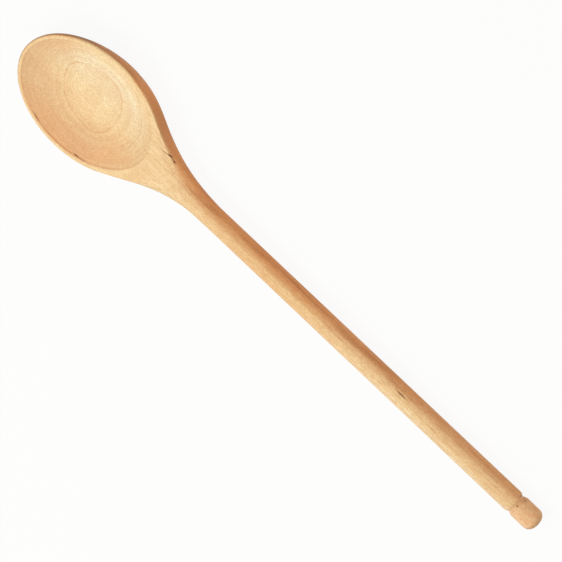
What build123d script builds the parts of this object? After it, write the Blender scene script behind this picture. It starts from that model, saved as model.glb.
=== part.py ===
from build123d import *
from math import asin, cos, degrees, radians, sin, sqrt, tan
import os

# Wooden spoon, carved from a single blank of beech. Millimetres.
# It is drawn with X along the handle from the bowl's tip, and Z = 0 on the handle's axis.
# At the end it is laid down as it lies on a table, with the origin under its middle.

# Bowl, outside
total_length = 355.0
tip_to_widest = 43.4
tip_to_deepest = 48.0
bowl_width = 62.6
bowl_depth = 16.3           # from the rim to the underside
full_wall_start = 54.0      # the walls stand full and steep from here, and rounder at the tip

# Rim, in heights above the handle's axis
rim_height_at_tip = 6.1
rim_height_at_neck = 5.4
rim_end = 92.0              # from the tip, where the rim has run out onto the neck
rim_edge_radius = 1.0

# Hollow, set in from the bowl's outline by the rim's width
rim_width_at_tip = 1.9
rim_width_at_side = 1.9
hollow_end = 82.3           # from the tip, where it runs out onto the neck
hollow_depth = 7.0
hollow_edge_radius = 1.2

# Neck: where each change starts, from the tip, and how far before the handle it ends
neck_flare_radius = 108.0
side_fall_start = 42.0      # the widest line leaves the rim for the handle's axis
side_fall_margin = 24.0
wall_slim_start = 74.0      # the full walls of the bowl start to turn round
ridge_fade_start = 80.0     # the ridge beside the flat top softens and dies away
ridge_fade_margin = 10.0
underside_rise_start = 60.0 # the underside leaves the bowl's lowest line for the handle's
underside_rise_margin = 6.0

# Handle
handle_start_diameter = 12.0
handle_end_diameter = 12.35
end_round_radius = 4.3
groove_from_end = 15.3      # to its bottom, which lies nearer to the bowl's side
groove_run_before = 2.2
groove_run_after = 3.4
groove_depth = 1.0
groove_wall_radius = 8.0    # both walls bulge a little, as a file leaves them
groove_overrun = 0.1        # the cut starts this far outside the handle

# Lying on a table: on a flat sanded under the bowl, with the handle's end just clear
rest_flat_depth = 0.25
handle_end_gap = 0.02
cut_overrun = 5.0

# Fullness of the cross-section's curves, as shares of the way to the corner that
# each curve rounds off: in the bowl, and last where the section is a circle.
# The walls and the keel have a share for the tip before these.
crown_shares = (0.6667, 0.7810)
ridge_shares = (0.5523, 0.6400)
wall_shares = (0.55, 0.9, 0.5523)
keel_shares = (0.6, 0.8, 0.5523)
ridge_angle_at_handle = 45.0
tip_flat_share = 0.35
crown_middle_share = 3 / 4

half_width = bowl_width / 2
start_radius = handle_start_diameter / 2
end_radius = handle_end_diameter / 2
nose_height = rim_height_at_tip - rim_edge_radius
hollow_length = hollow_end - rim_width_at_tip
hollow_middle = rim_width_at_tip + hollow_length / 2
hollow_width = 2 * (half_width - rim_width_at_side)


def ease(start, end, x):
    share = min(max((x - start) / (end - start), 0), 1)
    return share * share * (3 - 2 * share)


def between(ends, share):
    return ends[0] + (ends[1] - ends[0]) * share


# Plan outline: an egg of a bowl, the handle's strip, and a wide flare between them
with BuildSketch() as plan:
    with Locations((tip_to_widest, 0)):
        Ellipse(tip_to_widest, half_width)
    with Locations((tip_to_widest, 0)):
        Rectangle(
            total_length - tip_to_widest,
            handle_start_diameter,
            align=(Align.MIN, Align.CENTER),
        )
    fillet(plan.vertices().group_by(Axis.X)[-2], radius=neck_flare_radius)
handle_start = plan.vertices().group_by(Axis.X)[-2][0].X
side_fall_end = handle_start - side_fall_margin
ridge_fade_end = handle_start - ridge_fade_margin
underside_rise_end = handle_start - underside_rise_margin


def handle_radius(x):
    along = (x - handle_start) / (total_length - handle_start)
    return between((start_radius, end_radius), max(along, 0))


def side_reach(x):
    # Half of the width at x
    if x >= handle_start:
        return handle_radius(x)
    across = Edge.make_line((x, 0), (x, bowl_width))
    return plan.sketch.face().intersect(across).edges()[0].length


def rim_reach(x):
    # Half of the width of the rim's flat top, one edge radius inside the outline
    if x >= tip_to_widest:
        return side_reach(x) - rim_edge_radius
    from_widest = min((tip_to_widest - x) / (tip_to_widest - rim_edge_radius), 1)
    inset = (half_width - rim_edge_radius) * sqrt(1 - from_widest**2)
    return max(inset, tip_flat_share * side_reach(x))


def rim_height(x):
    return between((rim_height_at_tip, rim_height_at_neck), x / rim_end)


def crown_height(x):
    # The top along the middle: the rim's line, rolled over at the very tip
    roll = max(rim_edge_radius - x, 0)
    drop = rim_edge_radius - sqrt(rim_edge_radius**2 - roll**2)
    to_handle = ease(hollow_end, ridge_fade_end, x)
    return between((rim_height(x) - drop, handle_radius(x)), to_handle)


def keel_height(x):
    # The underside along the middle: a quarter ellipse to the tip, an S to the handle
    nose = max(tip_to_deepest - x, 0) / tip_to_deepest
    lowest = rim_height(tip_to_deepest) - bowl_depth
    under_bowl = between((nose_height, lowest), sqrt(1 - nose**2))
    to_handle = ease(underside_rise_start, underside_rise_end, x)
    return between((under_bowl, -handle_radius(x)), to_handle)


def cross_section(x):
    # Across the blank at x: crown, two ridges, and two walls that meet at the keel.
    # Each curve is a cubic whose handles reach towards the corner that it rounds off.
    radius = handle_radius(x)
    fall = ease(side_fall_start, side_fall_end, x)
    full = ease(0, full_wall_start, x)
    slim = ease(wall_slim_start, side_fall_end, x)
    fade = ease(ridge_fade_start, ridge_fade_end, x)
    angle = radians(ridge_angle_at_handle)
    side_y = side_reach(x)
    side_z = between((rim_height(x) - rim_edge_radius, 0), fall)
    keel_z = keel_height(x)
    slope = tan(angle * fade)
    ridge_y = between((rim_reach(x), radius * sin(angle)), fade)
    crown_run = between(crown_shares, fade) * ridge_y * cos(angle * fade)
    ridge_z = crown_height(x) - crown_middle_share * crown_run * slope
    corner_z = ridge_z - (side_y - ridge_y) * slope
    ridge_run = between(ridge_shares, fade) * (side_y - ridge_y)
    ridge_drop = between(ridge_shares, fade) * (corner_z - side_z)
    wall_share, keel_share = [
        between((between(shares[:2], full), shares[2]), slim)
        for shares in (wall_shares, keel_shares)
    ]
    wall_drop = wall_share * (side_z - keel_z)
    keel_run = keel_share * side_y
    ridge = (ridge_y, ridge_z)
    crown_pull = (ridge_y - crown_run, ridge_z + crown_run * slope)
    ridge_pull = (ridge_y + ridge_run, ridge_z - ridge_run * slope)
    side_pull_up = (side_y, side_z + ridge_drop)
    side = (side_y, side_z)
    side_pull_down = (side_y, side_z - wall_drop)
    keel_pull = (keel_run, keel_z)
    keel = (0, keel_z)

    def left(point):
        return (-point[0], point[1])

    outline = [
        Bezier(left(ridge), left(crown_pull), crown_pull, ridge),
        Bezier(ridge, ridge_pull, side_pull_up, side),
        Bezier(side, side_pull_down, keel_pull, keel),
        Bezier(keel, left(keel_pull), left(side_pull_down), left(side)),
        Bezier(left(side), left(side_pull_up), left(ridge_pull), left(ridge)),
    ]
    return Plane.YZ.offset(x) * Face(Wire(outline))


# Stations: stepped evenly round the tip's curve, then along the neck
turn_angles = (2, 5, 9, 13, 18, 25, 33, 42, 52, 63, 76, 90)
tip_stations = [tip_to_widest * (1 - cos(radians(angle))) for angle in turn_angles]
neck_shares = (0.12, 0.23, 0.33, 0.42, 0.51, 0.60, 0.70, 0.80, 0.90, 1.0)
neck_stations = [between((tip_to_widest, handle_start), share) for share in neck_shares]

with BuildPart() as blank:
    loft(sections=[cross_section(x) for x in tip_stations + neck_stations])
    loft(sections=[cross_section(x) for x in (handle_start, total_length)], ruled=True)

    # The end of the handle: rounded over, with a ring cut into it
    end_edges = blank.faces().sort_by(Axis.X)[-1].edges()
    fillet(end_edges, radius=end_round_radius)
    groove_x = total_length - groove_from_end
    before_x = groove_x - groove_run_before
    after_x = groove_x + groove_run_after
    before = (before_x, handle_radius(before_x) + groove_overrun)
    after = (after_x, handle_radius(after_x) + groove_overrun)
    bottom = (groove_x, handle_radius(groove_x) - groove_depth)
    with BuildSketch(Plane.XZ):
        with BuildLine():
            RadiusArc(before, bottom, groove_wall_radius)
            RadiusArc(bottom, after, groove_wall_radius)
            Polyline(
                after,
                (after_x, end_radius + cut_overrun),
                (before_x, end_radius + cut_overrun),
                before,
            )
        make_face()
    revolve(axis=Axis.X, mode=Mode.SUBTRACT)

    # Hollow: an arc along the bowl, turned about an axis high above it
    rim_slope = (rim_height_at_tip - rim_height_at_neck) / rim_end
    arc_radius = ((hollow_length / 2) ** 2 + hollow_depth**2) / (2 * hollow_depth)
    turn_height = ((hollow_width / 2) ** 2 - hollow_depth**2) / (2 * hollow_depth)
    rim_plane = Plane(
        origin=(hollow_middle, 0, rim_height(hollow_middle)),
        x_dir=(1, 0, -rim_slope),
        z_dir=(0, -1, 0),
    )
    with BuildSketch(rim_plane):
        with Locations((0, arc_radius - hollow_depth)):
            Circle(arc_radius)
        with Locations((0, turn_height)):
            Rectangle(
                2 * arc_radius, 2 * arc_radius, align=(Align.CENTER, Align.MIN), mode=Mode.SUBTRACT
            )
    turn_centre = rim_plane.from_local_coords((0, turn_height, 0))
    revolve(axis=Axis(turn_centre, rim_plane.x_dir), mode=Mode.SUBTRACT)
    hollow_face = blank.faces().filter_by(GeomType.REVOLUTION).sort_by(SortBy.AREA)[-1]
    fillet(hollow_face.edges(), radius=hollow_edge_radius)

# Laid down: tilted until the bowl and the handle's end both reach the table
bowl_low = bowl_depth - rim_height(tip_to_deepest) - rest_flat_depth
heel_x = total_length - end_round_radius
lie_angle = asin((bowl_low - end_radius) / (heel_x - underside_rise_start))
heel_drop = heel_x * sin(lie_angle) + (end_radius - end_round_radius) * cos(lie_angle)
table = heel_drop + end_round_radius + handle_end_gap
laid = blank.part.rotate(Axis.Y, degrees(lie_angle))
middle_x = laid.bounding_box().center().X
with BuildPart() as spoon:
    with Locations((-middle_x, 0, table)):
        add(laid)
    split(bisect_by=Plane.XY, keep=Keep.TOP)

os.makedirs("parts", exist_ok=True)
spoon.part.label = "spoon"
export_step(spoon.part, "parts/spoon.step")
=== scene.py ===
from math import cos, radians, sin
from types import SimpleNamespace

import bmesh
import bpy
from mathutils import Matrix, Vector

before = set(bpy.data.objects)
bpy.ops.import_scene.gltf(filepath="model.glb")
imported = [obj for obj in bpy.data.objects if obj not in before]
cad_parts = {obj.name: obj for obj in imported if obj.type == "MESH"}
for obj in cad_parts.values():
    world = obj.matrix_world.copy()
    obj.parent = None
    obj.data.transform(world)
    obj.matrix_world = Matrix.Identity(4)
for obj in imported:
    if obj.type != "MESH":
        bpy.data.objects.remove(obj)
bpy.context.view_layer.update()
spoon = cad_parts["spoon"]
print("frame loaded:", ", ".join(sorted(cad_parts)))

# Camera: above the spoon on its +Y side, rolled so that the handle runs down to the right
cameraView = {
    "target": (-0.00278, 0.0, 0.00847),
    "towardsCamera": (-0.01041, 0.54452, 0.83869),
    "distance": 1.01625,
    "lens": 128.11,
    "sensor": 36.0,
    "handleSlope": 43.859,      # degrees below the picture's horizontal
    "clip": (0.05, 20.0),
}


def placeCamera(view):
    data = bpy.data.cameras.new("camera")
    data.lens = view["lens"]
    data.sensor_width = view["sensor"]
    data.clip_start, data.clip_end = view["clip"]
    camera = bpy.data.objects.new("camera", data)
    bpy.context.scene.collection.objects.link(camera)
    back = Vector(view["towardsCamera"]).normalized()
    along = Vector((1, 0, 0)) - back.x * back
    along.normalize()
    across = back.cross(along)
    slope = radians(view["handleSlope"])
    right = cos(slope) * along + sin(slope) * across
    up = cos(slope) * across - sin(slope) * along
    turn = Matrix((right, up, back)).transposed().to_4x4()
    place = Vector(view["target"]) + back * view["distance"]
    camera.matrix_world = Matrix.Translation(place) @ turn
    bpy.context.scene.camera = camera


placeCamera(cameraView)
print("camera placed")


def screen(red, green, blue):
    # a colour as a paint program shows it, 0 to 255, made linear for the shaders
    parts = []
    for value in (red, green, blue):
        value = value / 255
        parts.append(value / 12.92 if value <= 0.04045 else ((value + 0.055) / 1.055) ** 2.4)
    return (*parts, 1.0)


class ShaderBench:
    # short ways to add shader nodes and to join them

    def __init__(self, tree):
        tree.nodes.clear()
        self.tree = tree

    def add(self, kind, inputs=None, **settings):
        node = self.tree.nodes.new(kind)
        for name, value in settings.items():
            setattr(node, name, value)
        for name, value in (inputs or {}).items():
            if isinstance(value, bpy.types.NodeSocket):
                self.tree.links.new(value, node.inputs[name])
            else:
                node.inputs[name].default_value = value
        return node

    def calc(self, operation, first, second=0.0):
        return self.add("ShaderNodeMath", {0: first, 1: second}, operation=operation).outputs[0]

    def plus(self, first, second):
        return self.calc("ADD", first, second)

    def minus(self, first, second):
        return self.calc("SUBTRACT", first, second)

    def times(self, first, *others):
        for other in others:
            first = self.calc("MULTIPLY", first, other)
        return first

    def most(self, first, second):
        return self.calc("MAXIMUM", first, second)

    def rest(self, share):
        return self.minus(1.0, share)

    def apart(self, first, second):
        return self.calc("ABSOLUTE", self.minus(first, second))

    def length(self, vector):
        return self.add("ShaderNodeVectorMath", {0: vector}, operation="LENGTH").outputs["Value"]

    def between(self, share, low, high):
        # low where the share is 0, high where it is 1
        return self.plus(self.times(share, high - low), low)

    def rise(self, value, start, full):
        # 0 at the start and 1 where it is full, eased between
        inputs = {0: value, 1: start, 2: full}
        return self.add("ShaderNodeMapRange", inputs, interpolation_type="SMOOTHSTEP").outputs[0]

    def stretch(self, value, comes, goes):
        # eased in over one range and out over another
        return self.times(self.rise(value, *comes), self.rise(value, *goes))

    def ramp(self, value, start, end, low, high):
        inputs = {0: value, 1: start, 2: end, 3: low, 4: high}
        return self.add("ShaderNodeMapRange", inputs).outputs[0]

    def noise(self, point, look):
        # noise drawn out along the grain
        along, across = look["waves"]
        drawnOut = {"Vector": point, "Location": look["shift"], "Scale": (along, across, across)}
        spot = self.add("ShaderNodeMapping", drawnOut).outputs[0]
        inputs = {"Vector": spot, "Scale": 1.0, "Detail": look.get("detail", 2.0),
                  "Roughness": look.get("roughness", 0.5)}
        return self.add("ShaderNodeTexNoise", inputs).outputs[0]

    def waver(self, point, look):
        # the same noise, but about 0
        return self.minus(self.noise(point, look), 0.5)

    def blend(self, share, first, second):
        node = self.add("ShaderNodeMix", {0: share, 6: first, 7: second}, data_type="RGBA")
        return node.outputs[2]


# The finish, stage by stage, on the spoon's own axes and in metres. A pair such as "neckX" or
# "comes" is where a look starts and where it is full, and the second may be the lower one. Names
# with "Face" are about the surface's direction: 1 straight along that axis, -1 straight against it.
# Noise has its waves per metre along and across the grain, and a shift that picks its pattern.

# Beech, as a paint program shows it
beech = {
    "pale": (252, 232, 184),
    "paintedHighlight": (255, 252, 221),      # painted highlight where the wood faces the lamp on the -Y side
    "ring": (214, 166, 112),        # growth layers and fine grain
    "cloud": (238, 199, 149),
    "pinkAndShade": (243, 206, 164),        # pinker end grain at the hollow's ends, and painted shade on its slopes turned to +Y, away from the lamp
    "redShadeAndBlotch": (221, 131, 66),     # painted shade on the +Y side, away from the lamp, and the knob's red blotches
    "orange": (224, 158, 84),       # the handle near the neck
    "besideNeck": (250, 168, 98),   # warmer painted shade on the +Y side where the bowl meets the neck
    "streak": (150, 84, 42),        # dark streaks, dirt and stains, and painted shade under the rim and in the groove
    "flecks": (178, 120, 72),       # pores, the cutter's path, a darker band on the hollow's -Y slope, and painted shade inside the hollow's edge
    "endGrain": (148, 98, 58),
    "knobEnd": (242, 190, 150),
    "underside": (100, 62, 36),     # painted shade under the bowl's tip
    "marks": (80, 28, 6),
}

# Where the spoon's parts are
places = {
    "hollowMiddle": -0.1354,
    "hollowReach": (0.0400, 0.0291),        # along and across
    "hollowEdge": (1.02, 0.98),             # in shares of that reach
    "hollowFaceZ": (0.0, 0.3),
    "neckX": (-0.07, -0.09),                # the flat top beside the hollow
    "fibresHidden": (0.65, 0.4),            # in the hollow, which cuts across them, and on that top
    "rimZ": 0.0158,
    "knobX": (0.158, 0.164),
    "ripple": {"waves": (90, 260), "shift": (5, 3, 1)},     # in the growth layers and the cutter's path
}


def readSurface(b, p):
    coordinates = b.add("ShaderNodeTexCoord").outputs
    here = coordinates["Object"]
    x, y, z = b.add("ShaderNodeSeparateXYZ", {0: here}).outputs
    faceX, faceY, faceZ = b.add("ShaderNodeSeparateXYZ", {0: coordinates["Normal"]}).outputs
    reachAlong, reachAcross = p["hollowReach"]
    along = b.calc("DIVIDE", b.minus(x, p["hollowMiddle"]), reachAlong)
    across = b.calc("DIVIDE", y, reachAcross)
    reach = b.calc("SQRT", b.plus(b.times(along, along), b.times(across, across)))
    inHollow = b.times(b.rise(reach, *p["hollowEdge"]), b.rise(faceZ, *p["hollowFaceZ"]))
    onNeck = b.times(b.rest(inHollow), b.rise(x, *p["neckX"]))
    hiddenInHollow, hiddenOnNeck = p["fibresHidden"]
    fibres = b.rest(b.times(inHollow, hiddenInHollow))
    fibres = b.minus(fibres, b.times(onNeck, hiddenOnNeck))
    return SimpleNamespace(
        here=here, x=x, y=y, z=z, faceX=faceX, faceY=faceY, faceZ=faceZ,
        towardsEnds=b.calc("ABSOLUTE", faceX), belowRim=b.minus(p["rimZ"], z),
        reach=reach, inHollow=inHollow, fibres=fibres,
        knob=b.rise(x, *p["knobX"]), ripple=b.waver(here, p["ripple"]),
    )


# Bare wood: a painted highlight where it faces the lamp on -Y; in the hollow, painted shade on slopes
# turned to +Y and pinker end grain at its ends
bareLook = {
    "litFaceY": (0.05, -0.3),
    "litHollow": 0.8,
    "litReach": (1.0, 0.72),        # well inside the hollow's edge
    "litOutside": (0.2, 0.65),      # near the bowl, and towards the handle's end
    "litOutsideX": (0.02, 0.12),
    "pinkFaceY": (-0.25, 0.1),
    "pinkFaceX": (0.1, 0.3),
    "pinkReach": (0.3, 0.95),
    "pinkShare": (0.62, 0.2),       # less towards the neck
    "pinkShareX": (-0.113, -0.103),
    # darker half-way down the hollow's -Y slope, but not at the tip nor at the neck
    "slopeFaceY": (0.0, 0.15),
    "slopeReachComes": (0.3, 0.55),
    "slopeReachGoes": (0.95, 0.75),
    "slopeTipX": (-0.168, -0.158),
    "slopeNeckX": (-0.112, -0.125),
    "slopeShare": 0.11,
}


def toneBareWood(b, s, tones, at):
    # painted highlight: paler where the surface faces the lamp on the -Y side, in the hollow and along the
    # neck and handle
    lit = b.times(at.inHollow, b.rise(at.reach, *s["litReach"]), s["litHollow"])
    lit = b.plus(lit, b.between(b.rise(at.x, *s["litOutsideX"]), *s["litOutside"]))
    lit = b.times(lit, b.rise(at.faceY, *s["litFaceY"]))
    colour = b.blend(lit, tones["pale"], tones["paintedHighlight"])
    # painted shade: pinker and darker on the hollow's slopes turned to +Y, away from the lamp; pinker end
    # grain where the hollow faces its ends
    pinkAndShade = b.most(b.rise(at.faceY, *s["pinkFaceY"]), b.rise(at.towardsEnds, *s["pinkFaceX"]))
    pinkAndShade = b.times(pinkAndShade, at.inHollow, b.rise(at.reach, *s["pinkReach"]))
    pinkAndShade = b.times(pinkAndShade, b.between(b.rise(at.x, *s["pinkShareX"]), *s["pinkShare"]))
    colour = b.blend(pinkAndShade, colour, tones["pinkAndShade"])
    slope = b.times(b.rise(at.faceY, *s["slopeFaceY"]), at.inHollow, s["slopeShare"])
    slope = b.times(slope, b.stretch(at.reach, s["slopeReachComes"], s["slopeReachGoes"]))
    slope = b.times(slope, b.stretch(at.x, s["slopeTipX"], s["slopeNeckX"]))
    return b.blend(slope, colour, tones["flecks"])


# Growth layers lie nearly flat in the blank, so the hollow cuts them into ovals
growth = {
    "middle": -0.133,               # where the heights below are measured, along the spoon
    "tilt": (0.0076, -0.0414),      # fall of the layers along and across the spoon
    "bend": 1.67,
    "step": 0.00107,                # from one year to the next
    "wave": {"waves": (10, 45), "shift": (2, 1, 4)},
    "waveHeight": 0.0003,
    "rippleHeight": 0.00012,
    # where, reach, and how far the layers dip or rise there
    "dips": [((-0.155, 0.011), 0.0085, -0.0006), ((-0.119, 0.007), 0.0105, 0.0006),
             ((-0.124, -0.013), 0.006, -0.0003)],
    # late wood, in shares of a year, and its tone in the palest and in the darkest year
    "lateComes": (0.3, 0.86),
    "lateGoes": (1.0, 0.9),
    "yearTone": (0.05, 0.25),
    # dark layers: height and strength of each, where it fades beside that height, and its wear
    "darkLayers": [(0.01080, 0.54), (0.0116, 0.2), (0.0130, 0.36), (0.0142, 0.25), (0.0099, 0.07)],
    "halfLayer": (0.00016, 0.00002),
    "worn": {"waves": (110, 160), "shift": (9, 4, 2)},
    "wornRise": (0.36, 0.6),
    "wornTone": (0.4, 1.0),
}


def showLayers(b, g, tones, colour, at):
    tiltAlong, tiltAcross = g["tilt"]
    height = b.plus(at.z, b.times(b.minus(at.x, g["middle"]), tiltAlong))
    height = b.plus(height, b.times(at.y, tiltAcross))
    height = b.minus(height, b.times(at.y, at.y, g["bend"]))
    height = b.plus(height, b.times(b.waver(at.here, g["wave"]), g["waveHeight"]))
    height = b.plus(height, b.times(at.ripple, g["rippleHeight"]))
    for (dipX, dipY), reach, depth in g["dips"]:
        offsets = {0: b.minus(at.x, dipX), 1: b.minus(at.y, dipY)}
        away = b.length(b.add("ShaderNodeCombineXYZ", offsets).outputs[0])
        height = b.plus(height, b.times(b.rise(away, 2 * reach, 0.0), depth))
    years = b.calc("DIVIDE", height, g["step"])
    late = b.stretch(b.calc("FRACT", years), g["lateComes"], g["lateGoes"])
    luck = b.add("ShaderNodeTexWhiteNoise", {"W": b.calc("FLOOR", years)}, noise_dimensions="1D")
    layers = b.times(late, b.between(luck.outputs[0], *g["yearTone"]))
    worn = b.between(b.rise(b.noise(at.here, g["worn"]), *g["wornRise"]), *g["wornTone"])
    for lineHeight, strength in g["darkLayers"]:
        line = b.rise(b.apart(height, lineHeight), *g["halfLayer"])
        layers = b.most(layers, b.times(line, worn, strength))
    return b.blend(layers, colour, tones["ring"])


# Grain, in the order in which it is laid on. What follows the fibres is fainter where they are hidden.
grain = {
    "clouds": {"waves": (24, 60), "shift": (1, 9, 3), "rise": (0.4, 0.68), "share": 0.36,
               "tone": "cloud", "followsFibres": False},
    "fibres": {"waves": (22, 800), "shift": (0, 3, 7), "detail": 3.0, "roughness": 0.6,
               "rise": (0.42, 0.74), "share": 0.3, "tone": "ring", "followsFibres": True},
    "threads": {"waves": (75, 2300), "shift": (4, 1, 2), "roughness": 0.6,
                "rise": (0.45, 0.75), "share": 0.24, "tone": "ring", "followsFibres": True},
    "mottle": {"waves": (230, 750), "shift": (7, 7, 1), "detail": 1.0,
               "rise": (0.4, 0.68), "share": 0.3, "tone": "ring", "followsFibres": True},
    "grit": {"waves": (1100, 1500), "shift": (3, 8, 5), "detail": 1.0,
             "rise": (0.35, 0.65), "share": 0.36, "tone": "ring", "followsFibres": False},
    "lines": {"waves": (65, 2100), "shift": (2, 5, 8), "detail": 1.0,
              "rise": (0.64, 0.72), "share": 0.22, "tone": "streak", "followsFibres": True},
    "pores": {"waves": (330, 1700), "shift": (8, 2, 6), "detail": 1.0,
              "rise": (0.6, 0.74), "share": 0.4, "tone": "flecks", "followsFibres": True},
}


def layGrain(b, looks, tones, colour, at):
    noises, risen = {}, {}
    for name, look in looks.items():
        noises[name] = b.noise(at.here, look)
        risen[name] = b.rise(noises[name], *look["rise"])
        share = b.times(risen[name], look["share"])
        if look["followsFibres"]:
            share = b.times(share, at.fibres)
        colour = b.blend(share, colour, tones[look["tone"]])
    return colour, noises, risen


# The cutter left faint ovals in the hollow. A darker line inside its edge on the -Y slope, which faces
# away from the lamp, is painted shade
cutterAndShadeLook = {
    "turns": 110.0,                 # 2 pi times the ovals from the hollow's middle to its edge
    "turnsWaver": 4.0,
    "worn": {"waves": (130, 130), "shift": (6, 6, 2)},
    "wornRise": (0.35, 0.6),
    "ovalShare": 0.04,
    "lineFaceY": (0.1, 0.4),
    "lineReachComes": (0.962, 0.982),
    "lineReachGoes": (0.998, 0.984),
    "lineX": (-0.165, -0.145),
    "lineAlongX": (0.4, 1.0),       # weaker at the tip
    "uneven": {"waves": (120, 120), "shift": (4, 4, 4)},
    "unevenRise": (0.42, 0.62),
    "lineShare": (0.2, 0.5),
}


def showCutterAndShade(b, s, tones, colour, at):
    turns = b.plus(b.times(at.reach, s["turns"]), b.times(at.ripple, s["turnsWaver"]))
    ovals = b.times(b.plus(b.calc("SINE", turns), 1.0), at.inHollow, s["ovalShare"])
    ovals = b.times(ovals, b.rise(b.noise(at.here, s["worn"]), *s["wornRise"]))
    colour = b.blend(ovals, colour, tones["flecks"])
    # painted shade: a darker line just inside the hollow's edge, on the slope turned away from the lamp
    uneven = b.rise(b.noise(at.here, s["uneven"]), *s["unevenRise"])
    line = b.times(b.rise(at.faceY, *s["lineFaceY"]), b.between(uneven, *s["lineShare"]))
    line = b.times(line, b.between(b.rise(at.x, *s["lineX"]), *s["lineAlongX"]))
    line = b.times(line, b.stretch(at.reach, s["lineReachComes"], s["lineReachGoes"]))
    return b.blend(line, colour, tones["flecks"])


# Painted shade: faces turned to +Y, away from the lamp, are redder with dark streaks, and the tip's
# underside is darker; the handle near the neck is more orange all round
sideLook = {
    # the handle near the neck is more orange all round
    "orangeComesX": (-0.08, -0.045),
    "orangeGoesX": (0.06, 0.01),
    "orangeShare": 0.24,
    # the painted shade's red starts on faces turned to +Y, away from the lamp, and later along the handle,
    # by the neck and on the knob
    "redFaceY": (-0.02, 0.95),
    "laterX": (-0.06, 0.16),
    "later": (0.0, 0.4),
    "laterNeckComesX": (-0.085, -0.07),
    "laterNeckGoesX": (-0.01, -0.03),
    "laterNeck": 0.08,
    "laterKnob": 0.32,
    "waver": {"waves": (14, 90), "shift": (1, 6, 5)},
    "waverShare": 0.5,
    "redGrit": (0.7, 1.3),
    "redShare": (0.68, 0.65),       # at the bowl, and on the handle
    "redShareX": (-0.06, -0.03),
    "shadeStreaks": {"waves": (40, 330), "shift": (6, 2, 8), "detail": 3.0, "roughness": 0.55},
    "shadeStreaksRise": (0.46, 0.7),
    "shadeStreaksShare": 0.36,
    # where the bowl meets the neck the painted shade stays off the wall's top, and the rest of it is
    # warmer
    "byNeckComesX": (-0.123, -0.112),
    "byNeckGoesX": (-0.068, -0.085),
    "byNeckPale": 0.55,
    "byNeckWarm": 0.4,
    "byNeckShadeStreaksLess": 0.6,
    "ridgeBelow": (0.0022, 0.0),
    "ridgeFall": 0.04,
    "ridgeFallX": -0.11,
    # beside the bowl the painted shade stays off the rim's edge, and a line of painted shade lies just
    # under that edge
    "byBowlComesX": (-0.165, -0.155),
    "byBowlGoesX": (-0.12, -0.132),
    "byBowlY": (0.0, 0.01),
    "edgeBelow": (0.0007, 0.0),
    "edgePale": 0.85,
    "lineBelowComes": (0.0024, 0.0014),
    "lineBelowGoes": (0.0, 0.0008),
    "lineShare": 0.35,
    # painted shade under the bowl's tip, on faces turned down
    "underFaceZ": (0.45, -0.35),
    "underX": (-0.12, -0.135),
    "underShare": (0.1, 1.1),
}


def reddenSide(b, s, tones, colour, at):
    orange = b.times(b.stretch(at.x, s["orangeComesX"], s["orangeGoesX"]), s["orangeShare"])
    colour = b.blend(orange, colour, tones["orange"])
    later = b.plus(b.ramp(at.x, *s["laterX"], *s["later"]), b.times(at.knob, s["laterKnob"]))
    laterNeck = b.times(b.stretch(at.x, s["laterNeckComesX"], s["laterNeckGoesX"]), s["laterNeck"])
    waver = b.times(b.waver(at.here, s["waver"]), s["waverShare"])
    side = b.plus(b.minus(at.faceY, b.plus(later, laterNeck)), waver)
    side = b.rise(side, *s["redFaceY"])

    # the painted shade kept off the wall's top beside the neck, and off the rim's pale edge beside the
    # bowl
    byNeck = b.stretch(at.x, s["byNeckComesX"], s["byNeckGoesX"])
    fall = b.times(b.most(b.minus(at.x, s["ridgeFallX"]), 0.0), s["ridgeFall"])
    ridge = b.times(b.rise(b.minus(at.belowRim, fall), *s["ridgeBelow"]), byNeck, s["byNeckPale"])
    byBowl = b.stretch(at.x, s["byBowlComesX"], s["byBowlGoesX"])
    byBowl = b.times(byBowl, b.rise(at.y, *s["byBowlY"]))
    edge = b.times(b.rise(at.belowRim, *s["edgeBelow"]), byBowl, s["edgePale"])
    side = b.times(side, b.rest(b.most(ridge, edge)), b.between(at.grit, *s["redGrit"]))

    # painted shade: redder and darker on faces turned to +Y, away from the lamp
    red = b.times(side, b.between(b.rise(at.x, *s["redShareX"]), *s["redShare"]))
    colour = b.blend(red, colour, tones["redShadeAndBlotch"])
    # dark grain streaks, laid only on the painted shade of the +Y side
    shadeStreaks = b.rise(b.noise(at.here, s["shadeStreaks"]), *s["shadeStreaksRise"])
    shadeStreaks = b.times(shadeStreaks, side, at.fibres, s["shadeStreaksShare"])
    shadeStreaks = b.times(shadeStreaks, b.rest(b.times(byNeck, s["byNeckShadeStreaksLess"])))
    colour = b.blend(shadeStreaks, colour, tones["streak"])
    # painted shade: a darker line just under the rim's edge beside the bowl
    line = b.stretch(at.belowRim, s["lineBelowComes"], s["lineBelowGoes"])
    colour = b.blend(b.times(line, byBowl, side, s["lineShare"]), colour, tones["streak"])
    # warmer painted shade where the bowl meets the neck
    colour = b.blend(b.times(byNeck, side, s["byNeckWarm"]), colour, tones["besideNeck"])
    # painted shade on the downward faces under the bowl's tip
    under = b.times(b.rise(at.faceZ, *s["underFaceZ"]), b.rise(at.x, *s["underX"]))
    under = b.times(under, b.between(at.towardsEnds, *s["underShare"]))
    return b.blend(under, colour, tones["underside"]), side


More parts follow.
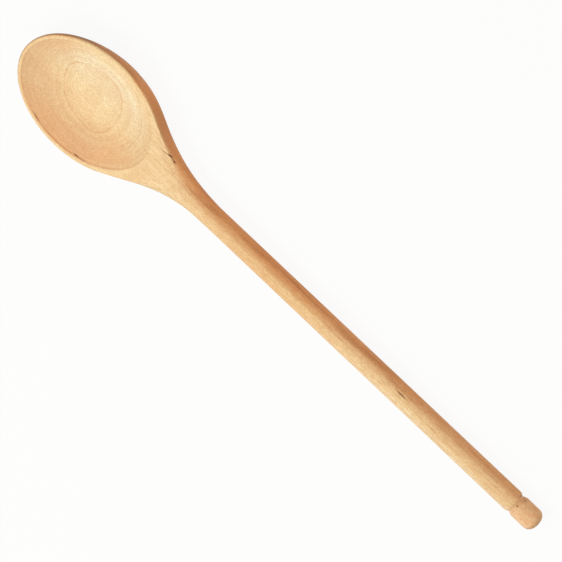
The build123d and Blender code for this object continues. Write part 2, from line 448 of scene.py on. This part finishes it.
# The knob is pinker with redder blotches, cut ends are darker, and the groove's wall is darker with dirt
# and painted shade
endLook = {
    "knobShare": 0.34,
    "blotches": {"waves": (420, 700), "shift": (5, 1, 1)},
    "blotchRise": (0.46, 0.66),
    "blotchShare": 0.26,
    "cutFaceX": (0.06, 0.85),
    "cutShare": (0.6, 0.2),         # outside the groove, and in it
    "cutLessOnKnob": 0.4,
    "lastFaceX": (0.86, 1.0),       # the very end of the handle
    "lastShare": 0.2,
    "grooveX": 0.1622,              # the groove's bottom
    "grooveHalf": (0.003, 0.002),
    "dirtAndShadeX": 0.1632,                # the groove's wall on the knob's side
    "dirtAndShadeHalf": (0.0015, 0.0003),
    "dirtAndShadeShare": (0.04, 0.64),      # a little dirt on the lit side, and painted shade on the +Y side
}


def finishEnds(b, s, tones, colour, at, side):
    colour = b.blend(b.times(at.knob, s["knobShare"]), colour, tones["knobEnd"])
    blotches = b.rise(b.noise(at.here, s["blotches"]), *s["blotchRise"])
    colour = b.blend(b.times(blotches, at.knob, s["blotchShare"]), colour, tones["redShadeAndBlotch"])
    inGroove = b.rise(b.apart(at.x, s["grooveX"]), *s["grooveHalf"])
    cut = b.times(b.rise(at.towardsEnds, *s["cutFaceX"]), b.between(inGroove, *s["cutShare"]))
    cut = b.times(cut, b.rest(b.times(at.knob, s["cutLessOnKnob"])))
    cut = b.plus(cut, b.times(b.rise(at.faceX, *s["lastFaceX"]), s["lastShare"]))
    colour = b.blend(cut, colour, tones["endGrain"])
    # the groove's wall on the knob's side: a little dirt, and painted shade where it is turned from the
    # lamp
    dirtAndShade = b.rise(b.apart(at.x, s["dirtAndShadeX"]), *s["dirtAndShadeHalf"])
    dirtAndShade = b.times(dirtAndShade, b.between(side, *s["dirtAndShadeShare"]))
    return b.blend(dirtAndShade, colour, tones["streak"])


# Cracks, pores and dents: where, turn in degrees, half length, half width, depth of tone
beechMarks = [
    ((-0.0891, 0.0117, 0.0149), 6, 0.0022, 0.00018, 0.65),
    ((-0.0866, 0.0119, 0.0144), 0, 0.0013, 0.00038, 0.95),
    ((-0.0846, 0.0112, 0.0140), -22, 0.0020, 0.00020, 0.6),
    ((-0.0829, 0.0105, 0.0137), -22, 0.0008, 0.00032, 0.85),
    ((-0.0932, 0.0114, 0.0153), 3, 0.0022, 0.00014, 0.3),
    ((-0.0964, 0.0126, 0.0153), 3, 0.0024, 0.00014, 0.3),
    ((-0.0940, 0.0103, 0.0153), 2, 0.0018, 0.00014, 0.25),
    ((-0.0876, 0.0083, 0.0150), 0, 0.0028, 0.00014, 0.25),
    ((-0.0972, 0.0041, 0.0150), 3, 0.0040, 0.00015, 0.28),
    ((-0.0896, 0.0047, 0.0150), 3, 0.0030, 0.00015, 0.25),
    ((-0.0826, 0.0048, 0.0151), 0, 0.0040, 0.00014, 0.22),
    ((0.0811, 0.0034, 0.0127), 0, 0.0030, 0.00025, 0.8),
    ((0.16275, 0.0026, 0.0111), 0, 0.0005, 0.00036, 0.68),
    ((0.1607, 0.0058, 0.0076), 0, 0.0005, 0.00055, 0.36),
    ((0.1641, 0.0059, 0.0075), 0, 0.0009, 0.00055, 0.26),
    ((0.1772, 0.0015, 0.0091), 0, 0.0010, 0.00090, 0.55),
    ((0.1752, -0.0035, 0.0105), 0, 0.0008, 0.00090, 0.45),
    ((-0.1227, -0.0267, 0.0155), 9, 0.0014, 0.00028, 0.8),
    ((-0.1195, -0.0261, 0.0154), 12, 0.0026, 0.00020, 0.45),
    ((-0.1511, -0.0261, 0.0162), -19, 0.0024, 0.00024, 0.5),
]
markLook = {
    "leastHeight": 0.0012,          # half the height of a mark is its half length, or this if more
    "ragged": {"waves": (900, 2600), "shift": (3, 3, 3)},
    "raggedShare": 1.2,
    "rise": (1.1, 0.6),             # in half lengths from the mark's middle
    "stainRise": (2.4, 0.8),
    "stainShare": 0.4,
}


def addMarks(b, s, marks, tones, colour, at):
    ragged = b.times(b.waver(at.here, s["ragged"]), s["raggedShare"])
    dents = 0.0
    for place, turn, halfLength, halfWidth, strength in marks:
        spot = b.add("ShaderNodeMapping", {
            "Vector": at.here, "Location": place, "Rotation": (0, 0, radians(turn)),
            "Scale": (halfLength, halfWidth, max(halfLength, s["leastHeight"])),
        }, vector_type="TEXTURE").outputs[0]
        away = b.length(spot)
        stain = b.times(b.rise(away, *s["stainRise"]), strength * s["stainShare"])
        colour = b.blend(stain, colour, tones["streak"])
        mark = b.times(b.rise(b.plus(away, ragged), *s["rise"]), strength)
        colour = b.blend(mark, colour, tones["marks"])
        dents = b.most(dents, mark)
    return colour, dents


# Dry, unoiled surface: raised fibres, sunken pores and marks, and little shine
polish = {
    "raised": {"fibres": 0.6, "threads": 0.5},
    "sunkenPores": 0.5,
    "bump": 0.15,
    "bumpDepth": 0.0002,
    "dullness": {"waves": (30, 120), "shift": (2, 2, 9)},
    "dullnessRange": (0.3, 0.7),
    "roughness": (0.5, 0.68),
    "shine": 0.3,
}


def makeBeech(s):
    material = bpy.data.materials.new("beech")
    material.use_nodes = True
    b = ShaderBench(material.node_tree)
    tones = {name: screen(*tone) for name, tone in beech.items()}
    at = readSurface(b, places)
    colour = toneBareWood(b, bareLook, tones, at)
    colour = showLayers(b, growth, tones, colour, at)
    colour, noises, risen = layGrain(b, grain, tones, colour, at)
    at.grit = noises["grit"]
    colour = showCutterAndShade(b, cutterAndShadeLook, tones, colour, at)
    colour, side = reddenSide(b, sideLook, tones, colour, at)
    colour = finishEnds(b, endLook, tones, colour, at, side)
    colour, dents = addMarks(b, markLook, beechMarks, tones, colour, at)

    raised = [b.times(noises[name], height) for name, height in s["raised"].items()]
    sunken = b.plus(b.times(risen["pores"], s["sunkenPores"]), dents)
    height = b.minus(b.plus(*raised), sunken)
    bump = {"Height": height, "Strength": s["bump"], "Distance": s["bumpDepth"]}
    dullness = b.noise(at.here, s["dullness"])
    wood = b.add("ShaderNodeBsdfPrincipled", {
        "Base Color": colour,
        "Roughness": b.ramp(dullness, *s["dullnessRange"], *s["roughness"]),
        "Normal": b.add("ShaderNodeBump", bump).outputs[0],
        "Specular IOR Level": s["shine"],
    })
    b.add("ShaderNodeOutputMaterial", {"Surface": wood.outputs[0]})
    return material


spoon.material_slots[0].material = makeBeech(polish)
print("spoon finished in beech")

studio = {
    "floorSize": 6.0,
    "floorColour": (0.8, 0.8, 0.8, 1.0),
    "floorWhite": 0.93,             # how far the camera sees the floor as plain white
    "white": (1.0, 1.0, 1.0, 1.0),
    "fillColour": (1.0, 0.85, 0.7, 1.0),
    "fillLight": 0.65,
}
lamps = {
    "keyLamp": {"place": (-0.2, -0.42, 1.15), "size": 0.6, "power": 7.15, "colour": (0.93, 0.98, 1.0)},
}


def seesWhite(b):
    rays = b.add("ShaderNodeLightPath").outputs
    seen = b.most(rays["Is Camera Ray"], rays["Is Glossy Ray"])
    return b.most(seen, rays["Is Transmission Ray"])


def layFloor(s):
    sheet = bmesh.new()
    bmesh.ops.create_grid(sheet, x_segments=1, y_segments=1, size=s["floorSize"] / 2)
    mesh = bpy.data.meshes.new("floor")
    sheet.to_mesh(mesh)
    sheet.free()
    floor = bpy.data.objects.new("floor", mesh)
    bpy.context.scene.collection.objects.link(floor)
    material = bpy.data.materials.new("floorPaper")
    material.use_nodes = True
    b = ShaderBench(material.node_tree)
    paper = b.add("ShaderNodeBsdfDiffuse", {"Color": s["floorColour"]}).outputs[0]
    white = b.add("ShaderNodeEmission", {"Color": s["white"], "Strength": 1.0}).outputs[0]
    share = b.times(seesWhite(b), s["floorWhite"])
    top = b.add("ShaderNodeMixShader", {0: share, 1: paper, 2: white}).outputs[0]
    # from below, the floor is clear
    clear = b.add("ShaderNodeBsdfTransparent").outputs[0]
    fromBelow = b.add("ShaderNodeNewGeometry").outputs["Backfacing"]
    shown = b.add("ShaderNodeMixShader", {0: fromBelow, 1: top, 2: clear}).outputs[0]
    b.add("ShaderNodeOutputMaterial", {"Surface": shown})
    mesh.materials.append(material)


def lightWorld(s):
    world = bpy.data.worlds.new("studio")
    world.use_nodes = True
    bpy.context.scene.world = world
    b = ShaderBench(world.node_tree)
    fill = b.add("ShaderNodeBackground", {"Color": s["fillColour"], "Strength": s["fillLight"]}).outputs[0]
    white = b.add("ShaderNodeBackground", {"Color": s["white"], "Strength": 1.0}).outputs[0]
    both = b.add("ShaderNodeMixShader", {0: seesWhite(b), 1: fill, 2: white}).outputs[0]
    b.add("ShaderNodeOutputWorld", {"Surface": both})


def hangLamp(name, s):
    data = bpy.data.lights.new(name, "AREA")
    data.size = s["size"]
    data.energy = s["power"]
    data.color = s["colour"]
    lamp = bpy.data.objects.new(name, data)
    bpy.context.scene.collection.objects.link(lamp)
    lamp.location = s["place"]
    lamp.rotation_euler = (-Vector(s["place"])).to_track_quat("-Z", "Y").to_euler()


layFloor(studio)
lightWorld(studio)
for lampName, lampValues in lamps.items():
    hangLamp(lampName, lampValues)
bpy.context.scene.view_settings.view_transform = "Standard"
print("floor laid and lamps hung")
